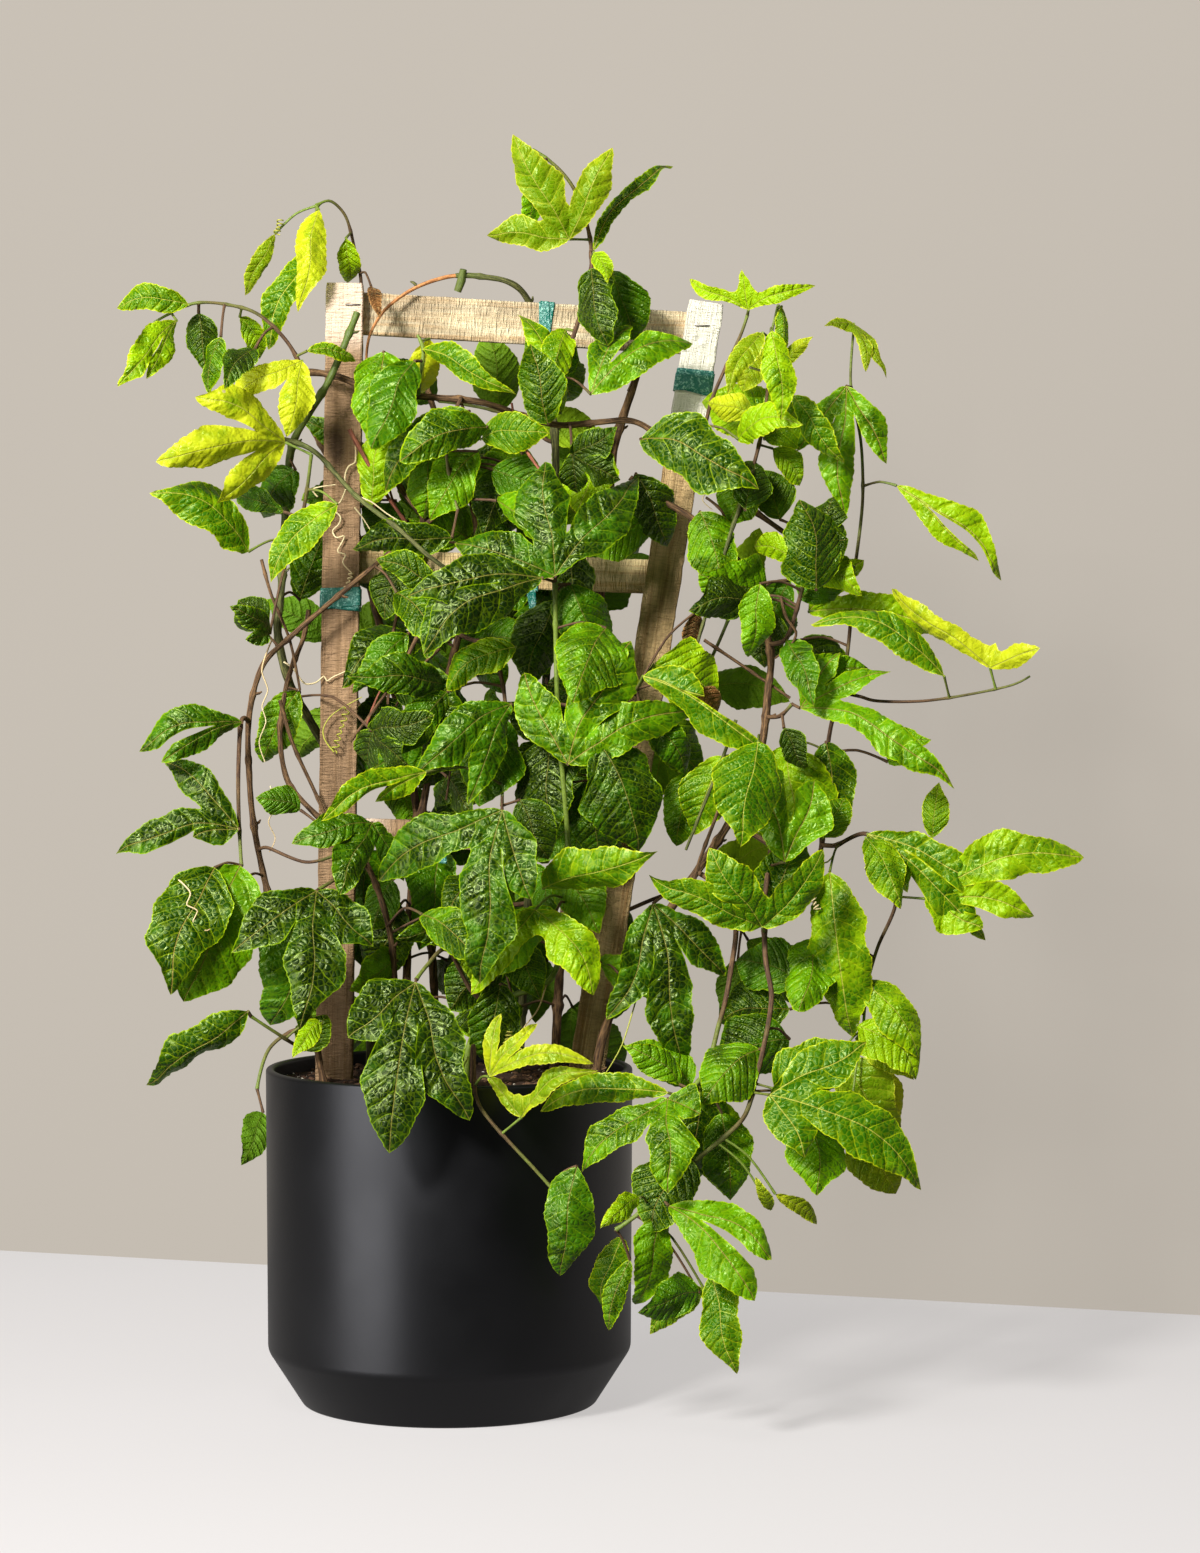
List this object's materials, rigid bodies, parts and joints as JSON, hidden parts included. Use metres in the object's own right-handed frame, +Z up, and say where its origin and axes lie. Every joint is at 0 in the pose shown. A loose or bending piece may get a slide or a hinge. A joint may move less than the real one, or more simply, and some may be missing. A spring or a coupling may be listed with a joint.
{
  "type": "potted climbing vine",
  "caption": "A passion flower vine grown in a round satin black planter and trained up a small wooden ladder trellis, with leafy stems that climb, arch and hang over the rim.",
  "frame": {"origin": "middle of the pot's base, on the surface it stands on", "axes": "+Z up, -Y is the front the vine is trained to, +X to the right seen from the front"},
  "size_m": [0.6567, 0.3886, 0.8788],
  "materials": {
    "pot": "satin black coat on a smooth cast wall",
    "potting_mix": "dark bark and fibre mix, matt, with pale specks",
    "pine": "rough sawn pale softwood",
    "old_pine": "rough weathered softwood, brown below and bleached at the top",
    "tie_tape": "teal stretch tape",
    "staple": "dull wire",
    "green_cane": "grey-green woody bark",
    "brown_cane": "brown woody bark",
    "leafy_stem": "glossy puckered green leaves on purplish green stems"
  },
  "bodies": {
    "root": {"pot": "pot", "potting_mix": "potting_mix", "trellis_upright_left": "pine", "trellis_slat_top": "pine", "trellis_slat_middle": "pine", "trellis_slat_lower": "pine", "trellis_upright_right": "old_pine", "tie_slat_top": "tie_tape", "tie_upright_right": "tie_tape", "tie_upright_left": "tie_tape", "tie_slat_middle": "tie_tape", "tie_slat_lower": "tie_tape", "staple_top_left": "staple", "staple_top_right": "staple", "staple_middle_left": "staple", "staple_middle_right": "staple", "staple_lower_left": "staple", "staple_lower_right": "staple", "cane_left": "green_cane", "cane_twin_left": "brown_cane", "cane_twin_right": "brown_cane", "cane_across": "brown_cane", "cane_right": "brown_cane", "cane_back": "brown_cane", "cane_top": "brown_cane", "cane_right_low": "brown_cane", "cane_stub": "brown_cane", "stem_centre": "leafy_stem", "stem_crown": "leafy_stem", "stem_top_left": "leafy_stem", "stem_top_light": "leafy_stem", "stem_arch": "leafy_stem", "stem_hook": "leafy_stem", "stem_left_upper": "leafy_stem", "stem_left_middle": "leafy_stem", "stem_left_lower": "leafy_stem", "stem_left_edge": "leafy_stem", "stem_front_left": "leafy_stem", "stem_inner_left": "leafy_stem", "stem_inner_top": "leafy_stem", "stem_top_right": "leafy_stem", "stem_top_right_light": "leafy_stem", "stem_right": "leafy_stem", "stem_right_twig": "leafy_stem", "stem_right_low": "leafy_stem", "stem_middle_right": "leafy_stem", "stem_right_inner": "leafy_stem", "stem_front_middle": "leafy_stem", "stem_hang_left": "leafy_stem", "stem_hang": "leafy_stem", "stem_rim": "leafy_stem", "stem_loop": "leafy_stem", "stem_behind_left": "leafy_stem", "stem_behind_middle": "leafy_stem", "stem_behind_right": "leafy_stem", "stem_behind_low": "leafy_stem", "stem_behind_rim": "leafy_stem", "stem_behind_pot": "leafy_stem", "stem_behind_top": "leafy_stem"}
  },
  "joints": []
}
